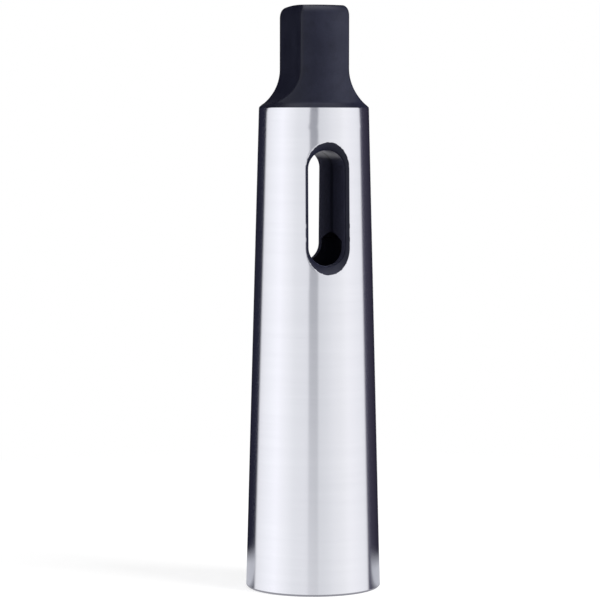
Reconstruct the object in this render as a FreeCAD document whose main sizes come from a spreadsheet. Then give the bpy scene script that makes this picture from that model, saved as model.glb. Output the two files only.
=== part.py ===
# Morse taper sleeve, Morse 4 outside and Morse 3 inside: one turned, milled and ground piece of steel.
# The origin is the centre of the large end, on which the sleeve stands. +Z runs up the axis to the tang,
# and the drift slot goes through along Y, so the flats of the tang face +X and -X.
import FreeCAD, Part
import math
import os
import Sketcher

# Driving dimensions in millimetres, with the drill's point in degrees and tapers as diameter per length.
dimensions = {
    "total_length": 140,
    "outer_gauge_dia": 31.267,
    "outer_gauge_height": 22.5,
    "outer_taper": 0.05194,
    "rim_break": 0.45,
    "tang_length": 24.4,
    "shoulder_height": 1.1,
    "tang_dia": 24,
    "tang_thickness": 11.9,
    "tang_flat_length": 15.1,
    "tang_runout_radius": 9.1,
    "tang_end_radius": 2.4,
    "socket_dia": 23.825,
    "socket_taper": 0.0502,
    "socket_chamfer": 0.9,
    "pilot_dia": 20.2,
    "pilot_depth": 83.9,
    "drill_point_angle": 144,
    "slot_width": 8.9,
    "slot_length": 27.3,
    "slot_height": 78.15,
    "slot_sink": 1.97,
}

# Clearance by which the flat cutters pass the metal beside and above the tang.
cutter_overrun = 2
# Edges this near to the top count as lying on it.
level_tolerance = 0.01
# The slot's countersink starts this far below its visible inner edge, inside the open slot.
sink_start = 1

# Lengths that several features share, worked out from the cells.
taper_top = "(sizes.total_length - sizes.tang_length)"
flat_bottom = "(sizes.total_length - sizes.tang_flat_length)"
slot_middle = "(sizes.slot_height + sizes.slot_length / 2)"
drill_rise = "sizes.pilot_dia / 2 / tan(sizes.drill_point_angle * 0.5 deg)"


def outerRadius(height):
    return f"(sizes.outer_gauge_dia - ({height} - sizes.outer_gauge_height) * sizes.outer_taper) / 2"


def socketRadius(depth):
    return f"(sizes.socket_dia - {depth} * sizes.socket_taper) / 2"


def makeSheet(doc):
    sheet = doc.addObject("Spreadsheet::Sheet", "sizes")
    for row, (name, value) in enumerate(dimensions.items(), start=1):
        sheet.set(f"A{row}", name)
        sheet.set(f"B{row}", str(value))
        sheet.setAlias(f"B{row}", name)
    doc.recompute()


def originPart(body, role):
    return next(item for item in body.Origin.OriginFeatures if item.Role == role)


def makeSketch(body, name):
    sketch = body.newObject("Sketcher::SketchObject", name)
    sketch.AttachmentSupport = [(originPart(body, "XZ_Plane"), "")]
    sketch.MapMode = "FlatFace"
    return sketch


def worth(owner, expression):
    return float(owner.evalExpression(expression))


def bind(sketch, name, expression, kind, *places):
    # Adds a dimension that follows an expression.
    index = sketch.addConstraint(Sketcher.Constraint(kind, *places, worth(sketch, expression)))
    sketch.renameConstraint(index, name)
    sketch.setExpression(f"Constraints.{name}", expression)


def bindPoint(sketch, line, distance, height):
    # Fixes the start of a line at a distance from the axis and a height, where "0" means on the axis itself.
    for kind, expression, axis in (("DistanceX", distance, -2), ("DistanceY", height, -1)):
        if expression == "0":
            sketch.addConstraint(Sketcher.Constraint("PointOnObject", line, 1, axis))
        else:
            bind(sketch, f"{kind}_{line}", expression, kind, -1, 1, line, 1)


def drawOutline(sketch, corners):
    # Draws a closed outline of straight lines through corners, each a pair of expressions.
    points = [FreeCAD.Vector(worth(sketch, across), worth(sketch, up)) for across, up in corners]
    last = len(points) - 1
    for line, point in enumerate(points):
        sketch.addGeometry(Part.LineSegment(point, points[0 if line == last else line + 1]))
    for line, (distance, height) in enumerate(corners):
        sketch.addConstraint(Sketcher.Constraint("Coincident", last if line == 0 else line - 1, 2, line, 1))
        bindPoint(sketch, line, distance, height)


def drawObround(sketch, middle, width, length):
    # Draws an upright slot with round ends, centred on the vertical axis at a height.
    radius = worth(sketch, width) / 2
    rise = worth(sketch, length) / 2 - radius
    low, high = (FreeCAD.Vector(0, worth(sketch, middle) + step) for step in (-rise, rise))
    side, normal = FreeCAD.Vector(radius, 0), FreeCAD.Vector(0, 0, 1)
    sketch.addGeometry(Part.LineSegment(low + side, high + side))
    sketch.addGeometry(Part.ArcOfCircle(Part.Circle(high, normal, radius), 0, math.pi))
    sketch.addGeometry(Part.LineSegment(high - side, low - side))
    sketch.addGeometry(Part.ArcOfCircle(Part.Circle(low, normal, radius), math.pi, 2 * math.pi))
    for first, second in ((0, 1), (1, 2), (2, 3), (3, 0)):
        sketch.addConstraint(Sketcher.Constraint("Tangent", first, 2, second, 1))
    for arc in (1, 3):
        sketch.addConstraint(Sketcher.Constraint("PointOnObject", arc, 3, -2))
    sketch.addConstraint(Sketcher.Constraint("Vertical", 0))
    bind(sketch, "radius", f"({width}) / 2", "Radius", 1)
    bind(sketch, "low_centre", f"{middle} - ({length} - ({width})) / 2", "DistanceY", -1, 1, 3, 3)
    bind(sketch, "high_centre", f"{middle} + ({length} - ({width})) / 2", "DistanceY", -1, 1, 1, 3)


def cut(body, kind, name, profile, **settings):
    # Adds a cutting feature, recomputes it and stops if it took no metal away.
    doc, before = body.Document, body.Shape.Volume
    feature = body.newObject(kind, name)
    feature.Profile = profile
    for setting, value in settings.items():
        setattr(feature, setting, value)
    doc.recompute()
    if not body.Shape.Volume < before:
        raise RuntimeError(f"{name} cuts nothing")
    return feature


def mirror(body, name, features, plane):
    copy = body.newObject("PartDesign::Mirrored", name)
    copy.Originals = features
    copy.MirrorPlane = (originPart(body, plane), [""])
    body.Tip = copy
    body.Document.recompute()


def turnOutside(body):
    # The ground taper, the black shoulder above it and the blank of the tang, in one revolved outline.
    sketch = makeSketch(body, "outside_outline")
    drawOutline(sketch, [
        ("0", "0"),
        (f"{outerRadius('0')} - sizes.rim_break", "0"),
        (outerRadius("sizes.rim_break"), "sizes.rim_break"),
        (outerRadius(taper_top), taper_top),
        ("sizes.tang_dia / 2", f"{taper_top} + sizes.shoulder_height"),
        ("sizes.tang_dia / 2", "sizes.total_length"),
        ("0", "sizes.total_length"),
    ])
    outside = body.newObject("PartDesign::Revolution", "outside")
    outside.Profile = sketch
    outside.ReferenceAxis = (sketch, ["V_Axis"])
    outside.Angle = 360
    body.Document.recompute()


def roundEnd(body):
    # The radius round the top of the tang, along its flats as well.
    base = body.Tip
    top = worth(base, "sizes.total_length")
    edges = [f"Edge{number}" for number, edge in enumerate(base.Shape.Edges, start=1)
             if edge.BoundBox.ZMin > top - level_tolerance]
    end = body.newObject("PartDesign::Fillet", "tang_end")
    end.Base = (base, edges)
    end.setExpression("Radius", "sizes.tang_end_radius")
    body.Document.recompute()


def millTang(body):
    # One flat of the tang with the concave runout that the cutter leaves below it, then its mirror image.
    sketch = makeSketch(body, "flat_outline")
    flat, top = "sizes.tang_thickness / 2", f"sizes.total_length + {cutter_overrun}"
    corner = f"{flat} + sizes.tang_runout_radius"
    outside = f"sizes.outer_gauge_dia / 2 + {cutter_overrun}"
    floor = f"{flat_bottom} - sizes.tang_runout_radius"
    drawRunout(sketch, flat, corner, outside, floor, top)
    feature = cut(body, "PartDesign::Pocket", "tang_flat", sketch, SideType="Symmetric", Type="ThroughAll")
    mirror(body, "tang_flats", [feature], "YZ_Plane")


def drawRunout(sketch, flat, corner, outside, floor, top):
    # A vertical flat that ends in a quarter arc, closed by straight lines outside the metal.
    left, middle, right = (worth(sketch, text) for text in (flat, corner, outside))
    low, high, bend = (worth(sketch, text) for text in (floor, top, flat_bottom))
    vector = FreeCAD.Vector
    circle = Part.Circle(vector(middle, bend), vector(0, 0, 1), middle - left)
    sketch.addGeometry(Part.LineSegment(vector(left, high), vector(left, bend)))
    sketch.addGeometry(Part.ArcOfCircle(circle, math.pi, 1.5 * math.pi))
    sketch.addGeometry(Part.LineSegment(vector(middle, low), vector(right, low)))
    sketch.addGeometry(Part.LineSegment(vector(right, low), vector(right, high)))
    sketch.addGeometry(Part.LineSegment(vector(right, high), vector(left, high)))
    sketch.addConstraint(Sketcher.Constraint("Tangent", 0, 2, 1, 1))
    sketch.addConstraint(Sketcher.Constraint("Tangent", 1, 2, 2, 1))
    for first, second in ((2, 3), (3, 4), (4, 0)):
        sketch.addConstraint(Sketcher.Constraint("Coincident", first, 2, second, 1))
    for kind, line in (("Vertical", 0), ("Horizontal", 2), ("Vertical", 3), ("Horizontal", 4)):
        sketch.addConstraint(Sketcher.Constraint(kind, line))
    bind(sketch, "flat", flat, "DistanceX", -1, 1, 0, 1)
    bind(sketch, "top", top, "DistanceY", -1, 1, 0, 1)
    bind(sketch, "flat_bottom", flat_bottom, "DistanceY", -1, 1, 1, 3)
    bind(sketch, "runout", "sizes.tang_runout_radius", "Radius", 1)
    bind(sketch, "outside", outside, "DistanceX", -1, 1, 3, 1)


def boreSocket(body):
    # The ground taper socket with its mouth chamfer, then the drilled pilot bore and its pointed end.
    sketch = makeSketch(body, "socket_outline")
    drawOutline(sketch, [
        ("0", "0"),
        ("sizes.socket_dia / 2 + sizes.socket_chamfer", "0"),
        (socketRadius("sizes.socket_chamfer"), "sizes.socket_chamfer"),
        ("sizes.pilot_dia / 2", "(sizes.socket_dia - sizes.pilot_dia) / sizes.socket_taper"),
        ("sizes.pilot_dia / 2", "sizes.pilot_depth"),
        ("0", f"sizes.pilot_depth + {drill_rise}"),
    ])
    cut(body, "PartDesign::Groove", "socket", sketch, ReferenceAxis=(sketch, ["V_Axis"]), Angle=360)


def millSlot(body):
    # The drift slot straight through the sleeve.
    sketch = makeSketch(body, "slot_outline")
    drawObround(sketch, slot_middle, "sizes.slot_width", "sizes.slot_length")
    cut(body, "PartDesign::Pocket", "drift_slot", sketch, SideType="Symmetric", Type="ThroughAll")


def sinkSlot(body):
    # The 45 degree countersink around each end of the slot, as deep everywhere as the taper it follows.
    sketch = makeSketch(body, "sink_outline")
    drawObround(sketch, "0", f"sizes.slot_width - {2 * sink_start}", f"sizes.slot_length - {2 * sink_start}")
    lean = FreeCAD.Rotation(FreeCAD.Vector(1, 0, 0), -1)
    sketch.AttachmentOffset = FreeCAD.Placement(FreeCAD.Vector(), lean)
    sketch.setExpression("AttachmentOffset.Rotation.Angle", "-atan(sizes.outer_taper / 2)")
    sketch.setExpression("AttachmentOffset.Base.y", slot_middle)
    sketch.setExpression("AttachmentOffset.Base.z",
                         f"{outerRadius(slot_middle)} - sizes.slot_sink - {sink_start}")
    feature = cut(body, "PartDesign::Pocket", "slot_sink", sketch, Reversed=True, TaperAngle=45)
    feature.setExpression("Length", f"sizes.slot_sink + {sink_start + cutter_overrun}")
    mirror(body, "slot_sinks", [feature], "XZ_Plane")


def makeSleeve(doc):
    body = doc.addObject("PartDesign::Body", "sleeve")
    turnOutside(body)
    millTang(body)
    roundEnd(body)
    boreSocket(body)
    millSlot(body)
    sinkSlot(body)
    return body


def checkDocument(doc):
    for item in doc.Objects:
        if "Invalid" in item.State or "Error" in item.State:
            raise RuntimeError(f"{item.Name} failed: {item.State}")


def exportBody(body):
    shape = body.Shape
    if shape.isNull() or not shape.isValid() or len(shape.Solids) != 1:
        raise RuntimeError(f"{body.Label} isn't one valid solid")
    os.makedirs("parts", exist_ok=True)
    shape.exportStep(f"parts/{body.Label}.step")
    print(body.Label, "volume", round(shape.Volume, 1), "box", shape.BoundBox)


doc = FreeCAD.newDocument("morse_taper_sleeve")
makeSheet(doc)
sleeve = makeSleeve(doc)
doc.recompute()
checkDocument(doc)
exportBody(sleeve)
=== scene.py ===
import math

import bmesh
import bpy
from mathutils import Matrix, Vector


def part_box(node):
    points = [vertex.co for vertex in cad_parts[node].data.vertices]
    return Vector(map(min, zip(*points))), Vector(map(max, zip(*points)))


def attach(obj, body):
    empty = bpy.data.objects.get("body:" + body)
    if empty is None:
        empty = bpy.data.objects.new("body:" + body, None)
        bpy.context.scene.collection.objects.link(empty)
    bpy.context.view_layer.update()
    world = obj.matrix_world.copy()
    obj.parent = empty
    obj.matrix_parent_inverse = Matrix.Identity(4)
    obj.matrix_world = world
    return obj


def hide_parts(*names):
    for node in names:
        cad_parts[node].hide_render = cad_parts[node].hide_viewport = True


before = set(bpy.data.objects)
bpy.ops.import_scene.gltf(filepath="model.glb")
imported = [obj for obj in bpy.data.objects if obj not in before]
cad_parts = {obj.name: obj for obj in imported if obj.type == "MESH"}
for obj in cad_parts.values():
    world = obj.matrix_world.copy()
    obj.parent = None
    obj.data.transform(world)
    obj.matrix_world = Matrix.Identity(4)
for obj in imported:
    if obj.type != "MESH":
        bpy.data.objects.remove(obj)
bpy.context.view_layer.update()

# Sizes are in millimetres and angles in degrees until a mesh or a lamp is placed, which is in metres.
millimetre = 0.001
sleeveLow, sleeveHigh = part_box("sleeve")

# The sleeve as the CAD model has it. The length and the rim come from the frame itself.
sleeve = {
    "length": (sleeveHigh.z - sleeveLow.z) / millimetre,
    "rimRadius": (sleeveHigh.x - sleeveLow.x) / 2 / millimetre,
    "rimBreak": 0.45,
    "outerTaper": 0.05194,
    "taperTop": 115.6,
    "shoulderTop": 116.7,
    "shoulderRootRadius": 1.2,
    "tangRadius": 12.0,
    "flatHalf": 5.95,
    "flatBottom": 124.9,
    "runoutRadius": 9.1,
    "endRadius": 2.4,
    "flatEndShare": 0.5,      # the flats' top edges are rounded by this much of it
    "tangEdgeRadius": 1.3,
    "crownRadius": 150.0,
    "socketRadius": 11.9125,
    "socketTaper": 0.0502,
    "mouthChamfer": 0.9,
    "pilotRadius": 10.1,
    "pilotDepth": 83.9,
    "drillPointAngle": 144.0,
}

slot = {
    "halfWidth": 4.45,
    "bottom": 78.15,
    "top": 105.45,
    "sink": 1.97,
    "seamHeight": 0.07,       # the low line half way through, where the cuts from both sides meet
    "seamHalfWidth": 0.35,
    "liftFade": 1.6,          # how soon the wall's rows forget the slope of the drill point
}

# How finely each stretch of the mesh is divided.
steps = {
    "arc": 32,
    "lowStraight": 4,
    "highStraight": 16,
    "acrossBore": 36,
    "ring": 6,
    "below": 10,
    "above": 4,
    "runout": 32,
    "flat": 6,
    "tangEnd": 12,
    "tangTop": 8,
    "wall": 4,
    "pilot": 5,
    "drillPoint": 4,
    "socket": 8,
    "base": 4,
}

# The small rounding of sharp edges, and the angles from which an edge counts as sharp.
edges = {
    "rim": 0.15,
    "shoulder": 0.25,
    "slotOuter": 0.12,
    "slotInner": 0.28,
    "segments": 3,
    "roundedFrom": 24,
    "shadedFrom": 30,
    "weldDistance": 0.0005,
    "finishLine": 0.11,       # how far below the shoulder's foot the black oxide ends
}

finishIndex = {"ground": 0, "black": 1, "milled": 2}


def between(first, last, share):
    return first + (last - first) * share


def onCircle(radius, turn, height):
    # A point at an angle round the axis, counted from the front, -Y, towards +X.
    return Vector((radius * math.sin(turn), -radius * math.cos(turn), height))


def taperRadius(height):
    return sleeve["rimRadius"] - (height - sleeve["rimBreak"]) * sleeve["outerTaper"] / 2


def flatDistance(height):
    # How far the milled face of the tang stands from the axis, with the runout below it.
    below = sleeve["flatBottom"] - height
    if below <= 0:
        return sleeve["flatHalf"]
    reach = sleeve["runoutRadius"]
    return sleeve["flatHalf"] + reach - math.sqrt(max(reach ** 2 - below ** 2, 0))


def barRadius(height):
    # The turned outline above the ground taper: the shoulder, its hollow root and the bar of the tang.
    rise = sleeve["shoulderTop"] - sleeve["taperTop"]
    run = taperRadius(sleeve["taperTop"]) - sleeve["tangRadius"]
    root = sleeve["shoulderRootRadius"]
    slant = math.atan2(run, rise)
    rootTop = sleeve["shoulderTop"] + root * math.tan(slant / 2)
    if height >= rootTop:
        return sleeve["tangRadius"]
    if height > rootTop - root * math.sin(slant):
        return sleeve["tangRadius"] + root - math.sqrt(root ** 2 - (rootTop - height) ** 2)
    return taperRadius(sleeve["taperTop"]) - run * (height - sleeve["taperTop"]) / rise


def endInset(height):
    # How far the radius at the end of the tang draws its outline in.
    above = height - (sleeve["length"] - sleeve["endRadius"])
    if above <= 0:
        return 0
    return sleeve["endRadius"] - math.sqrt(max(sleeve["endRadius"] ** 2 - above ** 2, 0))


def tangSection(turn, height):
    # The tang's radius at an angle: a round bar cut by a flat, with an arc that softens their edge.
    inset = endInset(height)
    bar, flat = barRadius(height) - inset, flatDistance(height) - inset * sleeve["flatEndShare"]
    soft = max(sleeve["tangEdgeRadius"] - inset, 0.05)
    if flat >= bar:
        return bar
    centre = bar - soft
    arcStart = math.asin(min(1, (flat - soft) / centre))
    arcEnd = math.atan2(flat, centre * math.cos(arcStart))
    if turn <= arcStart:
        return bar
    if turn >= arcEnd:
        return flat / math.sin(turn)
    lean = turn - arcStart
    return centre * math.cos(lean) + math.sqrt(soft ** 2 - (centre * math.sin(lean)) ** 2)


def skinRadius(turn, height):
    if height <= 0:
        return taperRadius(0) - sleeve["rimBreak"]
    if height <= sleeve["taperTop"]:
        return taperRadius(height)
    return tangSection(turn, height)


def crownDrop(reach, height):
    # The end of the tang is slightly crowned, so its outline lies lower the further it is from the axis.
    start, end = sleeve["flatBottom"], sleeve["length"] - sleeve["endRadius"]
    share = min(1, max(0, (height - start) / (end - start)))
    return share * reach ** 2 / (2 * sleeve["crownRadius"])


def addGrid(mesh, across, up, place, finish):
    # A sheet of four-sided faces whose corners place(column, row) gives.
    corners = [[mesh.verts.new(place(column, row)) for row in range(up + 1)] for column in range(across + 1)]
    for column in range(across):
        for row in range(up):
            face = mesh.faces.new((
                corners[column][row],
                corners[column + 1][row],
                corners[column + 1][row + 1],
                corners[column][row + 1],
            ))
            face.material_index = finishIndex[finish]


# The slot's half outline runs from its lowest point up the +X side to its highest point.
outlineSteps = 2 * steps["arc"] + steps["lowStraight"] + steps["highStraight"]
boreLevel = steps["arc"] + steps["lowStraight"]
frontColumns = steps["arc"] // 2
boreColumns = steps["arc"] + steps["acrossBore"]
sideColumns = boreColumns - frontColumns
window = {"halfTurn": math.radians(34), "bottom": slot["bottom"] - 6, "top": slot["top"] + 5.5}
drillSlope = 1 / math.tan(math.radians(sleeve["drillPointAngle"] / 2))
boreDepthAtWall = math.sqrt(sleeve["pilotRadius"] ** 2 - slot["halfWidth"] ** 2)


def outlinePoint(step):
    # The slot's inner edge seen from the front, as (x, z) and its outward direction (x, z).
    half = slot["halfWidth"]
    low, high = slot["bottom"] + half, slot["top"] - half
    if step <= steps["arc"]:
        turn, centre = math.pi / 2 * (step / steps["arc"] - 1), low
    elif step <= boreLevel:
        turn, centre = 0, between(low, sleeve["pilotDepth"], (step - steps["arc"]) / steps["lowStraight"])
    elif step <= outlineSteps - steps["arc"]:
        turn, centre = 0, between(sleeve["pilotDepth"], high, (step - boreLevel) / steps["highStraight"])
    else:
        turn, centre = math.pi / 2 * (step - outlineSteps + steps["arc"]) / steps["arc"], high
    way = (math.cos(turn), math.sin(turn))
    return (half * way[0], centre + half * way[1]), way


def sinkPoint(step, share):
    # The countersink, from the slot's inner edge (share 0) to the ground taper (share 1), at 45 degrees.
    (x, z), (wayX, wayZ) = outlinePoint(step)
    depth = taperRadius(z) - slot["sink"]
    slope = sleeve["outerTaper"] / 2
    square = wayX ** 2 + 1 - (slope * wayZ) ** 2
    linear = 2 * (x * wayX + depth + taperRadius(z) * slope * wayZ)
    rest = x ** 2 + depth ** 2 - taperRadius(z) ** 2
    out = (-linear + math.sqrt(linear ** 2 - 4 * square * rest)) / (2 * square) * share
    return Vector((x + wayX * out, -depth - out, z + wayZ * out))


def windowPoint(step):
    # The frame round the slot on the ground taper, as (turn, height), matched step for step to the outline.
    if step <= frontColumns:
        return window["halfTurn"] * step / frontColumns, window["bottom"]
    if step >= outlineSteps - frontColumns:
        return window["halfTurn"] * (outlineSteps - step) / frontColumns, window["top"]
    share = (step - frontColumns) / (outlineSteps - 2 * frontColumns)
    return window["halfTurn"], between(window["bottom"], window["top"], share)


def ringPoint(step, ring):
    edge = sinkPoint(step, 1)
    turn, height = windowPoint(step)
    share = (ring / steps["ring"]) ** 1.4
    turn = between(math.asin(edge.x / taperRadius(edge.z)), turn, share)
    height = between(edge.z, height, share)
    return onCircle(taperRadius(height), turn, height)


def skinTurn(column, height):
    # Column angles: close beside the window, then even all round from the shoulder up.
    if column <= frontColumns:
        turn = window["halfTurn"] * column / frontColumns
    else:
        turn = between(window["halfTurn"], math.pi / 2, (column - frontColumns) / sideColumns)
    share = (height - window["top"]) / (sleeve["taperTop"] - window["top"])
    return between(turn, math.pi / 2 * column / boreColumns, min(1, max(0, share)))


def boreTurn(column):
    if column <= steps["arc"]:
        return math.asin(outlinePoint(column)[0][0] / sleeve["pilotRadius"])
    back = boreDepthAtWall * (1 - (column - steps["arc"]) / steps["acrossBore"])
    return math.atan2(slot["halfWidth"], back)


def skinPoint(column, height):
    turn = skinTurn(column, height)
    reach = skinRadius(turn, height)
    return onCircle(reach, turn, height - crownDrop(reach, height))


def addSkin(mesh, heights, finish, first=0):
    # Rows of the outside at these heights, from a first column round to +X.
    addGrid(mesh, boreColumns - first, len(heights) - 1,
            lambda column, row: skinPoint(column + first, heights[row]), finish)


def levels(first, last, count):
    return [between(first, last, row / count) for row in range(count + 1)]


def addOutside(mesh):
    sideRows = outlineSteps - 2 * frontColumns
    addSkin(mesh, [0, *levels(sleeve["rimBreak"], window["bottom"], steps["below"])], "ground")
    addSkin(mesh, levels(window["bottom"], window["top"], sideRows), "ground", frontColumns)
    addGrid(mesh, outlineSteps, steps["ring"], ringPoint, "ground")
    addSkin(mesh, levels(window["top"], sleeve["taperTop"], steps["above"]), "ground")
    shoulder = levels(sleeve["taperTop"], sleeve["taperTop"] + 0.5, 2)
    runoutTurn = math.asin((sleeve["flatBottom"] - shoulder[-1]) / sleeve["runoutRadius"])
    runout = [sleeve["flatBottom"] - sleeve["runoutRadius"] * math.sin(turn)
              for turn in levels(runoutTurn, 0, steps["runout"])]
    endStart = sleeve["length"] - sleeve["endRadius"]
    flat = levels(sleeve["flatBottom"], endStart, steps["flat"])
    end = [endStart + sleeve["endRadius"] * math.sin(turn)
           for turn in levels(0, math.pi / 2, steps["tangEnd"])]
    addSkin(mesh, [*shoulder, *runout[1:], *flat[1:], *end[1:]], "black")


def addTangTop(mesh):
    def place(column, row):
        turn = skinTurn(column, sleeve["length"])
        reach = skinRadius(turn, sleeve["length"]) * row / steps["tangTop"]
        return onCircle(reach, turn, sleeve["length"] - crownDrop(reach, sleeve["length"]))
    addGrid(mesh, boreColumns, steps["tangTop"], place, "black")


def seamRise(y):
    # The seam half way through the slot stands out of its wall by this much.
    return slot["seamHeight"] * max(0, 1 - abs(y) / slot["seamHalfWidth"])


def drillPointHeight(radius):
    return sleeve["pilotDepth"] + (sleeve["pilotRadius"] - radius) * drillSlope


def wallFront(step, column):
    # The slot's wall from the countersink back to where it meets the pilot bore.
    (x, z), _ = outlinePoint(step)
    back = math.sqrt(sleeve["pilotRadius"] ** 2 - x ** 2) if step < steps["arc"] else boreDepthAtWall
    start = sinkPoint(step, 0)
    return Vector((x, between(start.y, -back, column / steps["wall"]), z))


wallBackPlaces = [-boreDepthAtWall * (1 - column / steps["acrossBore"])
                  for column in range(steps["acrossBore"] + 1)]


def wallBack(step, column):
    # The slot's wall above the drill point, which is as deep as the middle of the sleeve.
    step += boreLevel
    (x, z), (wayX, wayZ) = outlinePoint(step)
    y = wallBackPlaces[column]
    fade = max(0, 1 - (step - boreLevel) / steps["highStraight"] * slot["liftFade"])
    lift = drillPointHeight(math.hypot(slot["halfWidth"], y)) - sleeve["pilotDepth"]
    rise = seamRise(y) if step > boreLevel else 0
    return Vector((x - wayX * rise, y, z - wayZ * rise + lift * fade))


def addSlot(mesh):
    addGrid(mesh, outlineSteps, 2, lambda step, row: sinkPoint(step, row / 2), "black")
    addGrid(mesh, outlineSteps, steps["wall"], wallFront, "milled")
    addGrid(mesh, outlineSteps - boreLevel, steps["acrossBore"], wallBack, "milled")


def addPilot(mesh):
    radius, start = sleeve["pilotRadius"], socketEnd
    wallFoot = slot["bottom"] + slot["halfWidth"]

    def lowRows(column, row):
        top = outlinePoint(min(column, steps["arc"]))[0][1]
        return onCircle(radius, boreTurn(column), between(start, top, row / steps["pilot"]))

    def sideRows(column, row):
        height = between(wallFoot, sleeve["pilotDepth"], row / steps["lowStraight"])
        return onCircle(radius, boreTurn(column + steps["arc"]), height)

    def drillPoint(column, row):
        turn = boreTurn(column + steps["arc"])
        reach = between(radius, slot["halfWidth"] / math.sin(turn), row / steps["drillPoint"])
        return onCircle(reach, turn, drillPointHeight(reach))

    addGrid(mesh, boreColumns, steps["pilot"], lowRows, "black")
    addGrid(mesh, steps["acrossBore"], steps["lowStraight"], sideRows, "black")
    addGrid(mesh, steps["acrossBore"], steps["drillPoint"], drillPoint, "black")


socketEnd = (sleeve["socketRadius"] - sleeve["pilotRadius"]) * 2 / sleeve["socketTaper"]


def socketRadiusAt(height):
    return sleeve["socketRadius"] - height * sleeve["socketTaper"] / 2


def addSocket(mesh):
    mouth = sleeve["socketRadius"] + sleeve["mouthChamfer"]
    heights = levels(sleeve["mouthChamfer"], socketEnd, steps["socket"])

    def bore(column, row):
        return onCircle(socketRadiusAt(heights[row]), boreTurn(column), heights[row])

    def chamfer(column, row):
        radius = between(mouth, socketRadiusAt(heights[0]), row)
        return onCircle(radius, boreTurn(column), heights[0] * row)

    def base(column, row):
        share = row / steps["base"]
        turn = between(boreTurn(column), skinTurn(column, 0), share)
        return onCircle(between(mouth, taperRadius(0) - sleeve["rimBreak"], share), turn, 0)

    addGrid(mesh, boreColumns, steps["socket"], bore, "ground")
    addGrid(mesh, boreColumns, 1, chamfer, "ground")
    addGrid(mesh, boreColumns, steps["base"], base, "ground")


def mirrorMesh(mesh, axis):
    copy = bmesh.ops.duplicate(mesh, geom=mesh.verts[:] + mesh.edges[:] + mesh.faces[:])["geom"]
    scale = Vector((1, 1, 1))
    scale[axis] = -1
    bmesh.ops.scale(mesh, vec=scale, verts=[item for item in copy if isinstance(item, bmesh.types.BMVert)])
    weld(mesh)


def weld(mesh):
    bmesh.ops.remove_doubles(mesh, verts=mesh.verts[:], dist=edges["weldDistance"])


def edgeWidth(point):
    # How wide the softened strip along a sharp edge is, by where the edge lies.
    reach = math.hypot(point.x, point.y)
    if point.z < 1:
        return edges["rim"]
    if point.z > sleeve["taperTop"] - 0.5:
        return edges["shoulder"] if point.z < sleeve["taperTop"] + 0.2 else 0
    if reach > taperRadius(point.z) - 0.03:
        return edges["slotOuter"]
    if reach > sleeve["pilotRadius"] + 0.3:
        return edges["slotInner"]
    return 0


def softenEdges(mesh):
    sharp = math.radians(edges["roundedFrom"])
    groups = {}
    for edge in mesh.edges:
        if edge.calc_face_angle(0) > sharp:
            width = edgeWidth((edge.verts[0].co + edge.verts[1].co) / 2)
            groups.setdefault(width, []).append(edge)
    groups.pop(0, None)
    for width, found in sorted(groups.items()):
        bmesh.ops.bevel(mesh, geom=found, offset=width, offset_type="OFFSET", segments=edges["segments"],
                        profile=0.5, affect="EDGES", clamp_overlap=False, loop_slide=True, material=-1)


def makeSleeve():
    mesh = bmesh.new()
    addOutside(mesh)
    addTangTop(mesh)
    addSlot(mesh)
    addPilot(mesh)
    addSocket(mesh)
    weld(mesh)
    mirrorMesh(mesh, 0)
    mirrorMesh(mesh, 1)
    bmesh.ops.recalc_face_normals(mesh, faces=mesh.faces[:])
    softenEdges(mesh)
    openEdges = sum(not edge.is_manifold for edge in mesh.edges)
    sharp = math.radians(edges["shadedFrom"])
    for face in mesh.faces:
        face.smooth = True
        middle = face.calc_center_median()
        if abs(middle.z - sleeve["taperTop"]) < 0.3:
            above = middle.z > sleeve["taperTop"] - edges["finishLine"]
            face.material_index = finishIndex["black" if above else "ground"]
    for edge in mesh.edges:
        edge.smooth = edge.calc_face_angle(0) < sharp or edge.verts[0].co.z > sleeve["taperTop"]
    bmesh.ops.scale(mesh, vec=Vector((millimetre,) * 3), verts=mesh.verts[:])
    data = bpy.data.meshes.new("turnedSleeve")
    mesh.to_mesh(data)
    mesh.free()
    piece = bpy.data.objects.new("turnedSleeve", data)
    bpy.context.scene.collection.objects.link(piece)
    normals = piece.modifiers.new("broadFacesFirst", "WEIGHTED_NORMAL")
    normals.keep_sharp = True
    print("sleeve mesh:", len(data.polygons), "faces,", openEdges, "open edges")
    return piece


class Wire:
    # The output of a node; sums and products of wires and numbers add Math nodes.
    def __init__(self, graph, socket):
        self.graph = graph
        self.socket = socket

    def out(self, name):
        return Wire(self.graph, self.socket.node.outputs[name])

    def __add__(self, other):
        return self.graph.sum("ADD", self, other)

    def __sub__(self, other):
        return self.graph.sum("SUBTRACT", self, other)

    def __rsub__(self, other):
        return self.graph.sum("SUBTRACT", other, self)

    def __mul__(self, other):
        return self.graph.sum("MULTIPLY", self, other)

    def __truediv__(self, other):
        return self.graph.sum("DIVIDE", self, other)

    __radd__ = __add__
    __rmul__ = __mul__


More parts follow.
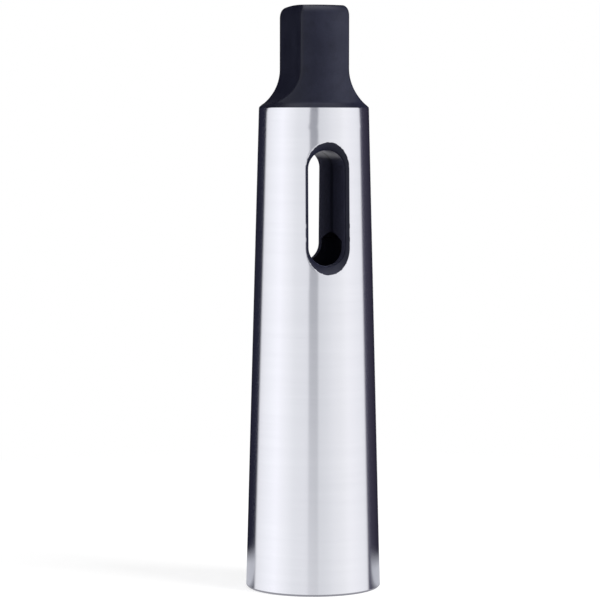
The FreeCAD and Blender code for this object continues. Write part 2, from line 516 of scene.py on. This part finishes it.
class Graph:
    # The nodes of a material or of the world.
    def __init__(self, owner):
        owner.use_nodes = True
        self.tree = owner.node_tree
        self.tree.nodes.clear()

    def add(self, kind, settings=None, sockets=None, output=0):
        node = self.tree.nodes.new(kind)
        for name, value in (settings or {}).items():
            if name == "stops":
                self.setStops(node.color_ramp, value)
            else:
                setattr(node, name, value)
        for name, value in (sockets or {}).items():
            if isinstance(value, Wire):
                self.tree.links.new(value.socket, node.inputs[name])
            else:
                node.inputs[name].default_value = value
        return Wire(self, node.outputs[output]) if len(node.outputs) else node

    def setStops(self, ramp, stops):
        while len(ramp.elements) < len(stops):
            ramp.elements.new(1)
        for element, (place, colour) in zip(ramp.elements, stops):
            element.position = place
            element.color = (*colour, 1) if isinstance(colour, tuple) else (colour, colour, colour, 1)

    def sum(self, operation, *values):
        return self.add("ShaderNodeMath", {"operation": operation}, dict(enumerate(values)))

    def stretch(self, vector, scale):
        sockets = {0: vector, 1: scale}
        return self.add("ShaderNodeVectorMath", {"operation": "MULTIPLY"}, sockets)

    def noise(self, vector, detail=2.0, roughness=0.5):
        sockets = {"Vector": vector, "Scale": 1.0, "Detail": detail, "Roughness": roughness}
        return self.add("ShaderNodeTexNoise", None, sockets)

    def ramp(self, value, stops, interpolation="LINEAR"):
        settings = {"stops": stops}
        wire = self.add("ShaderNodeValToRGB", settings, {"Fac": value})
        wire.socket.node.color_ramp.interpolation = interpolation
        return wire

    def colour(self, factor, first, second):
        settings = {"data_type": "RGBA"}
        pair = [colour if isinstance(colour, Wire) else (*colour, 1) for colour in (first, second)]
        return self.add("ShaderNodeMix", settings, {0: factor, 6: pair[0], 7: pair[1]}, 2)

    def bump(self, height, distance, strength=1.0):
        sockets = {"Height": height, "Distance": distance, "Strength": strength}
        return self.add("ShaderNodeBump", None, sockets)

    def finish(self, shader, kind="ShaderNodeOutputMaterial"):
        self.add(kind, None, {"Surface": shader})


groundFinish = {
    "bright": (0.845, 0.847, 0.876),
    "dull": (0.81, 0.812, 0.843),
    "roughness": 0.115,
    "roughnessRange": 0.05,
    "lineDepth": 0.0000025,
}


def groundSteel():
    # Ground steel: fine lines round the axis over a bright, faintly uneven metal.
    material = bpy.data.materials.new("groundSteel")
    graph = Graph(material)
    place = graph.add("ShaderNodeTexCoord").out("Object")
    fine = graph.noise(graph.stretch(place, (60, 60, 9000)), 3, 0.6)
    broad = graph.noise(graph.stretch(place, (25, 25, 500)), 2, 0.5)
    cloud = graph.noise(graph.stretch(place, (90, 90, 60)), 3, 0.6)
    tone = fine * 0.45 + broad * 0.35 + cloud * 0.2
    sockets = {
        "Base Color": graph.colour(graph.ramp(tone, [(0.36, 0), (0.62, 1)]), groundFinish["dull"],
                                   groundFinish["bright"]),
        "Metallic": 1.0,
        "Roughness": groundFinish["roughness"] + (cloud * 0.5 + fine * 0.5) * groundFinish["roughnessRange"],
        "Normal": graph.bump(fine, groundFinish["lineDepth"]),
    }
    graph.finish(graph.add("ShaderNodeBsdfPrincipled", None, sockets))
    return material


blackFinish = {
    "deep": (0.0085, 0.0092, 0.0190),
    "pale": (0.0135, 0.0144, 0.0270),
    "roughness": 0.36,
    "specular": 0.24,
    "specularTint": (0.86, 0.89, 1.0, 1.0),
    "grainDepth": 0.00001,
}


def oxideShader(graph, place, values, shade):
    # A satin blue-black with a fine grain and faint clouds, darkened where the shade is below 1: random wear
    # on the black oxide, and painted shade along the seam on the slot's walls.
    grain = graph.noise(graph.stretch(place, (2600, 2600, 2600)), 3, 0.6)
    cloud = graph.noise(graph.stretch(place, (160, 160, 160)), 3, 0.55)
    tone = graph.ramp(grain * 0.35 + cloud * 0.65, [(0.35, 0), (0.65, 1)])
    colour = graph.colour(tone, values["deep"], values["pale"])
    sockets = {
        "Base Color": graph.colour(shade, (0.002, 0.002, 0.004), colour),
        "Metallic": 0.0,
        "Roughness": values["roughness"] + (cloud - 0.5) * 0.12,
        "Specular IOR Level": values["specular"],
        "Specular Tint": values["specularTint"],
        "Normal": graph.bump(grain, values["grainDepth"], 0.6),
    }
    graph.finish(graph.add("ShaderNodeBsdfPrincipled", None, sockets))


def blackOxide():
    material = bpy.data.materials.new("blackOxide")
    graph = Graph(material)
    place = graph.add("ShaderNodeTexCoord").out("Object")
    wear = graph.noise(graph.stretch(place, (420, 420, 420)), 2, 0.5)
    oxideShader(graph, place, blackFinish, graph.ramp(wear, [(0.2, 0.7), (0.5, 1)]))
    return material


# Painted light: these colours are paler than the black oxide's, to lift the slot's walls out of their shade.
milledFinishAndPaintedLight = {
    "deep": (0.042, 0.044, 0.074),
    "pale": (0.064, 0.066, 0.106),
    "roughness": 0.32,
    "specular": 0.4,
    "specularTint": (0.86, 0.89, 1.0, 1.0),
    "grainDepth": 0.000008,
    "seamShadeWidth": 1.9,
}


def milledOxidePaintedLight():
    # The slot's walls: the same oxide over milled steel, a little glossier and in paler colours that are
    # painted light against the slot's shade, with painted shade in a band along the middle where the cuts
    # from both sides meet.
    material = bpy.data.materials.new("milledOxidePaintedLight")
    graph = Graph(material)
    place = graph.add("ShaderNodeTexCoord").out("Object")
    depth = graph.add("ShaderNodeSeparateXYZ", None, {"Vector": place}).out("Y")
    fromSeam = graph.sum("ABSOLUTE", depth) / (milledFinishAndPaintedLight["seamShadeWidth"] * millimetre)
    marks = graph.noise(graph.stretch(place, (500, 500, 5000)), 2, 0.5)
    # Painted shade: near black within half the seam width of the middle, fading out by the full width. The
    # tool marks beside it are random.
    shade = graph.ramp(fromSeam, [(0.5, 0.05), (1, 1)]) * graph.ramp(marks, [(0.3, 0.75), (0.6, 1)])
    oxideShader(graph, place, milledFinishAndPaintedLight, shade)
    return material


# The camera stands in front of the sleeve, a little to the left of the slot and below the shoulder.
camera = {
    "azimuth": 15.097,
    "distance": 627.83,
    "height": 111.47,
    "turn": -0.298,
    "dip": 3.838,
    "roll": 0.083,
    "lens": 156.751,
}


def makeCamera():
    data = bpy.data.cameras.new("studioCamera")
    data.lens = camera["lens"]
    data.sensor_width = 36
    piece = bpy.data.objects.new("studioCamera", data)
    bpy.context.scene.collection.objects.link(piece)
    azimuth = math.radians(camera["azimuth"])
    away = camera["distance"] * millimetre
    place = Vector((-math.sin(azimuth) * away, -math.cos(azimuth) * away, camera["height"] * millimetre))
    heading = Matrix.Rotation(-azimuth - math.radians(camera["turn"]), 4, "Z")
    tilt = Matrix.Rotation(math.radians(90 - camera["dip"]), 4, "X")
    roll = Matrix.Rotation(math.radians(camera["roll"]), 4, "Z")
    piece.matrix_world = Matrix.Translation(place) @ heading @ tilt @ roll
    bpy.context.scene.camera = piece
    print("camera ready")


# The studio as polished metal sees it. Each wall has a direction, in half turns from the camera with the left
# negative, and a colour. The heights are those of a direction, from -1 straight down to 1 straight up.
studio = {
    "walls": [
        (-0.93, (0.012, 0.012, 0.024)),
        (-0.66, (0.022, 0.023, 0.042)), (-0.635, (0.89, 0.895, 0.93)), (-0.60, (0.93, 0.935, 0.97)),
        (-0.48, (1.04, 1.05, 1.09)), (-0.38, (1.12, 1.12, 1.17)), (-0.28, (1.01, 1.015, 1.05)),
        (-0.18, (0.90, 0.91, 0.94)), (-0.06, (0.88, 0.885, 0.92)), (0.02, (0.84, 0.85, 0.88)),
        (0.08, (0.80, 0.81, 0.84)), (0.14, (0.84, 0.85, 0.88)), (0.21, (0.91, 0.915, 0.945)),
        (0.29, (0.955, 0.96, 0.985)), (0.37, (1.03, 1.03, 1.06)), (0.45, (1.00, 1.0, 1.035)),
        (0.52, (0.96, 0.965, 1.0)), (0.605, (0.90, 0.90, 0.94)), (0.625, (0.11, 0.107, 0.15)),
        (0.68, (0.05, 0.046, 0.072)), (0.93, (0.014, 0.012, 0.026)),
    ],
    "top": 2.3,
    "leftLean": 0.25,
    "gapHalf": 0.052,
    "gapShade": 0.43,
    "gapTint": (0.0, 0.003, 0.02),
    "gapFoot": 0.16,
    "gapHigh": 0.05,
    "gapLow": -0.13,
    "strip": (0.75, 0.75, 0.78),
    "stripFrom": 0.93,
    "stripSpread": 0.13,
    "stripLow": 0.18,
    "stripHigh": 0.05,
    "roof": (2.2, 2.2, 2.27),
    "roofFrom": 0.8,
    "roofFull": 0.94,
    "fill": 0.5,
}


def scaled(colour):
    # Ramps and mixes hold colours up to 1, so the studio's are kept as shares of its brightest.
    return tuple(level / studio["top"] for level in colour)


def makeWorld():
    world = bpy.data.worlds.new("studioWorld")
    bpy.context.scene.world = world
    graph = Graph(world)
    way = graph.add("ShaderNodeTexCoord").out("Generated")
    apart = graph.add("ShaderNodeSeparateXYZ", None, {"Vector": way})
    x, y, z = apart.out("X"), apart.out("Y"), apart.out("Z")
    azimuth = math.radians(camera["azimuth"])
    right = x * math.cos(azimuth) - y * math.sin(azimuth)
    front = x * -math.sin(azimuth) - y * math.cos(azimuth)
    turn = graph.sum("ARCTAN2", right, front) / math.pi
    turn = turn + graph.sum("MINIMUM", turn, 0.0) * z * studio["leftLean"]
    stops = [(place / 2 + 0.5, scaled(colour)) for place, colour in studio["walls"]]
    walls = graph.ramp(turn * 0.5 + 0.5, stops)

    # The photographer's side is darker, most of all above the table.
    inGap = graph.ramp(graph.sum("ABSOLUTE", turn) / studio["gapHalf"], [(0.86, 1), (1, 0)])
    height = (z - studio["gapLow"]) / (studio["gapHigh"] - studio["gapLow"])
    shade = inGap * graph.ramp(height, [(0, studio["gapFoot"]), (1, 1)]) * (1 - studio["gapShade"])
    walls = graph.colour(shade, walls, studio["gapTint"])

    # A bright strip stands straight behind the sleeve. It is wide at the foot and ends above the middle.
    low = graph.ramp(-1 * z, [(studio["stripLow"], 0), (studio["stripLow"] + 0.1, 1)])
    high = graph.ramp(z, [(studio["stripHigh"], 0), (studio["stripHigh"] + 0.1, 1)])
    widened = graph.sum("ABSOLUTE", turn) + (low - high) * studio["stripSpread"]
    strip = graph.ramp(widened, [(studio["stripFrom"], 0), (studio["stripFrom"] + 0.02, 1)])
    walls = graph.colour(strip, walls, scaled(studio["strip"]))

    overhead = graph.ramp(z, [(studio["roofFrom"], 0), (studio["roofFull"], 1)])
    seenByMetal = graph.colour(overhead, walls, scaled(studio["roof"]))

    path = graph.add("ShaderNodeLightPath")
    metal = graph.add("ShaderNodeBackground", None, {"Color": seenByMetal, "Strength": studio["top"]})
    fill = graph.add("ShaderNodeBackground", None, {"Strength": studio["fill"], "Color": (1, 1, 1, 1)})
    white = graph.add("ShaderNodeBackground", None, {"Strength": 1.0, "Color": (1, 1, 1, 1)})
    light = graph.add("ShaderNodeMixShader", None, {0: path.out("Is Glossy Ray"), 1: fill, 2: metal})
    shown = graph.add("ShaderNodeMixShader", None, {0: path.out("Is Camera Ray"), 1: light, 2: white})
    graph.finish(shown, "ShaderNodeOutputWorld")
    print("world ready")


# The table, and what polished metal sees of it: a grey card behind the sleeve and a dark ring at its foot,
# which is a painted shadow.
table = {
    "reach": 4000,
    "cardSlant": 0.5,         # the card's front edge runs back by this much to each side
    "cardFront": 15,
    "cardSoftness": 6,
    "cardWidth": 1.65,
    "cardShift": -8,
    "cardStart": 34,
    "cardEnd": 58,
    "cardTint": (0.54, 0.55, 0.60),
    # The painted shadow round the sleeve's foot, as metal sees it.
    "paintedShadowRadius": 18,
    "paintedShadowTint": (0.34, 0.34, 0.37),
    "whiteStart": 90,
    "whiteEnd": 260,
    "paint": 0.62,
    "glow": 0.6,
}


def tablePaint():
    # White to the camera but for the sleeve's shadow.
    material = bpy.data.materials.new("tablePaint")
    graph = Graph(material)
    place = graph.add("ShaderNodeTexCoord").out("Object")
    apart = graph.add("ShaderNodeSeparateXYZ", None, {"Vector": place})
    x, y = apart.out("X"), apart.out("Y")
    azimuth = math.radians(camera["azimuth"])
    behind = (x * math.sin(azimuth) + y * math.cos(azimuth)) / millimetre
    aside = (x * math.cos(azimuth) - y * math.sin(azimuth)) / millimetre
    reach = graph.add("ShaderNodeVectorMath", {"operation": "LENGTH"}, {0: place}, 1) / millimetre
    wide = (aside - table["cardShift"]) / table["cardWidth"]
    oval = graph.sum("SQRT", wide * wide + behind * behind)
    far = (oval - table["cardStart"]) / (table["cardEnd"] - table["cardStart"])
    front = behind - graph.sum("ABSOLUTE", aside) * table["cardSlant"] + table["cardFront"]
    besideWalls = graph.ramp(front / table["cardSoftness"], [(0, 0), (1, 1)])
    onCard = graph.ramp(far, [(0, 1), (1, 0)]) * besideWalls
    # Painted shadow: metal sees the table turn dark close round the sleeve's foot.
    paintedFootShadow = graph.ramp(reach / table["paintedShadowRadius"], [(0.94, 1), (1, 0)])
    level = graph.colour(paintedFootShadow, table["cardTint"], table["paintedShadowTint"])

    card = graph.add("ShaderNodeEmission", None, {"Color": level, "Strength": 1.0})
    away = graph.add("ShaderNodeBsdfTransparent")
    seen = graph.sum("MAXIMUM", onCard, paintedFootShadow)
    mirrored = graph.add("ShaderNodeMixShader", None, {0: seen, 1: away, 2: card})
    paint = graph.add("ShaderNodeBsdfDiffuse", None, {"Color": (*(table["paint"],) * 3, 1)})
    glow = graph.add("ShaderNodeEmission", None, {"Strength": table["glow"]})
    lit = graph.add("ShaderNodeAddShader", None, {0: glow, 1: paint})
    white = graph.add("ShaderNodeEmission", None, {"Strength": 1.0})
    outer = (reach - table["whiteStart"]) / (table["whiteEnd"] - table["whiteStart"])
    lit = graph.add("ShaderNodeMixShader", None, {0: graph.ramp(outer, [(0, 0), (1, 1)]), 1: lit, 2: white})
    path = graph.add("ShaderNodeLightPath")
    plain = graph.add("ShaderNodeMixShader", None, {0: path.out("Is Camera Ray"), 1: paint, 2: lit})
    sockets = {0: path.out("Is Glossy Ray"), 1: plain, 2: mirrored}
    graph.finish(graph.add("ShaderNodeMixShader", None, sockets))
    return material


def makeTable():
    mesh = bmesh.new()
    bmesh.ops.create_grid(mesh, x_segments=1, y_segments=1, size=table["reach"] * millimetre)
    data = bpy.data.meshes.new("studioTable")
    mesh.to_mesh(data)
    mesh.free()
    data.materials.append(tablePaint())
    piece = bpy.data.objects.new("studioTable", data)
    piece.location.z = sleeveLow.z - 0.00002
    bpy.context.scene.collection.objects.link(piece)


# Area lamps: azimuth from the camera, left negative, height and distance, size and power in watts.
lamps = {
    "leftBox": {"azimuth": -62, "height": 260, "distance": 900, "size": 600, "power": 1.5},
    "rightBox": {"azimuth": 62, "height": 260, "distance": 900, "size": 600, "power": 12},
}


def makeLamp(name, values):
    data = bpy.data.lights.new(name, "AREA")
    data.size = values["size"] * millimetre
    data.energy = values["power"]
    piece = bpy.data.objects.new(name, data)
    bpy.context.scene.collection.objects.link(piece)
    turn = math.radians(camera["azimuth"] - values["azimuth"])
    away = values["distance"] * millimetre
    piece.location = (-math.sin(turn) * away, -math.cos(turn) * away, values["height"] * millimetre)
    aim = Vector((0, 0, sleeve["length"] / 2 * millimetre)) - piece.location
    piece.rotation_euler = aim.to_track_quat("-Z", "Y").to_euler()
    piece.visible_glossy = False


turnedSleeve = makeSleeve()
turnedSleeve.data.materials.append(groundSteel())
turnedSleeve.data.materials.append(blackOxide())
turnedSleeve.data.materials.append(milledOxidePaintedLight())
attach(turnedSleeve, "root")
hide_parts("sleeve")
print("sleeve dressed")

makeCamera()
makeWorld()
makeTable()
for lampName, lampValues in lamps.items():
    makeLamp(lampName, lampValues)
print("studio ready")

bpy.context.scene.view_settings.view_transform = "Standard"
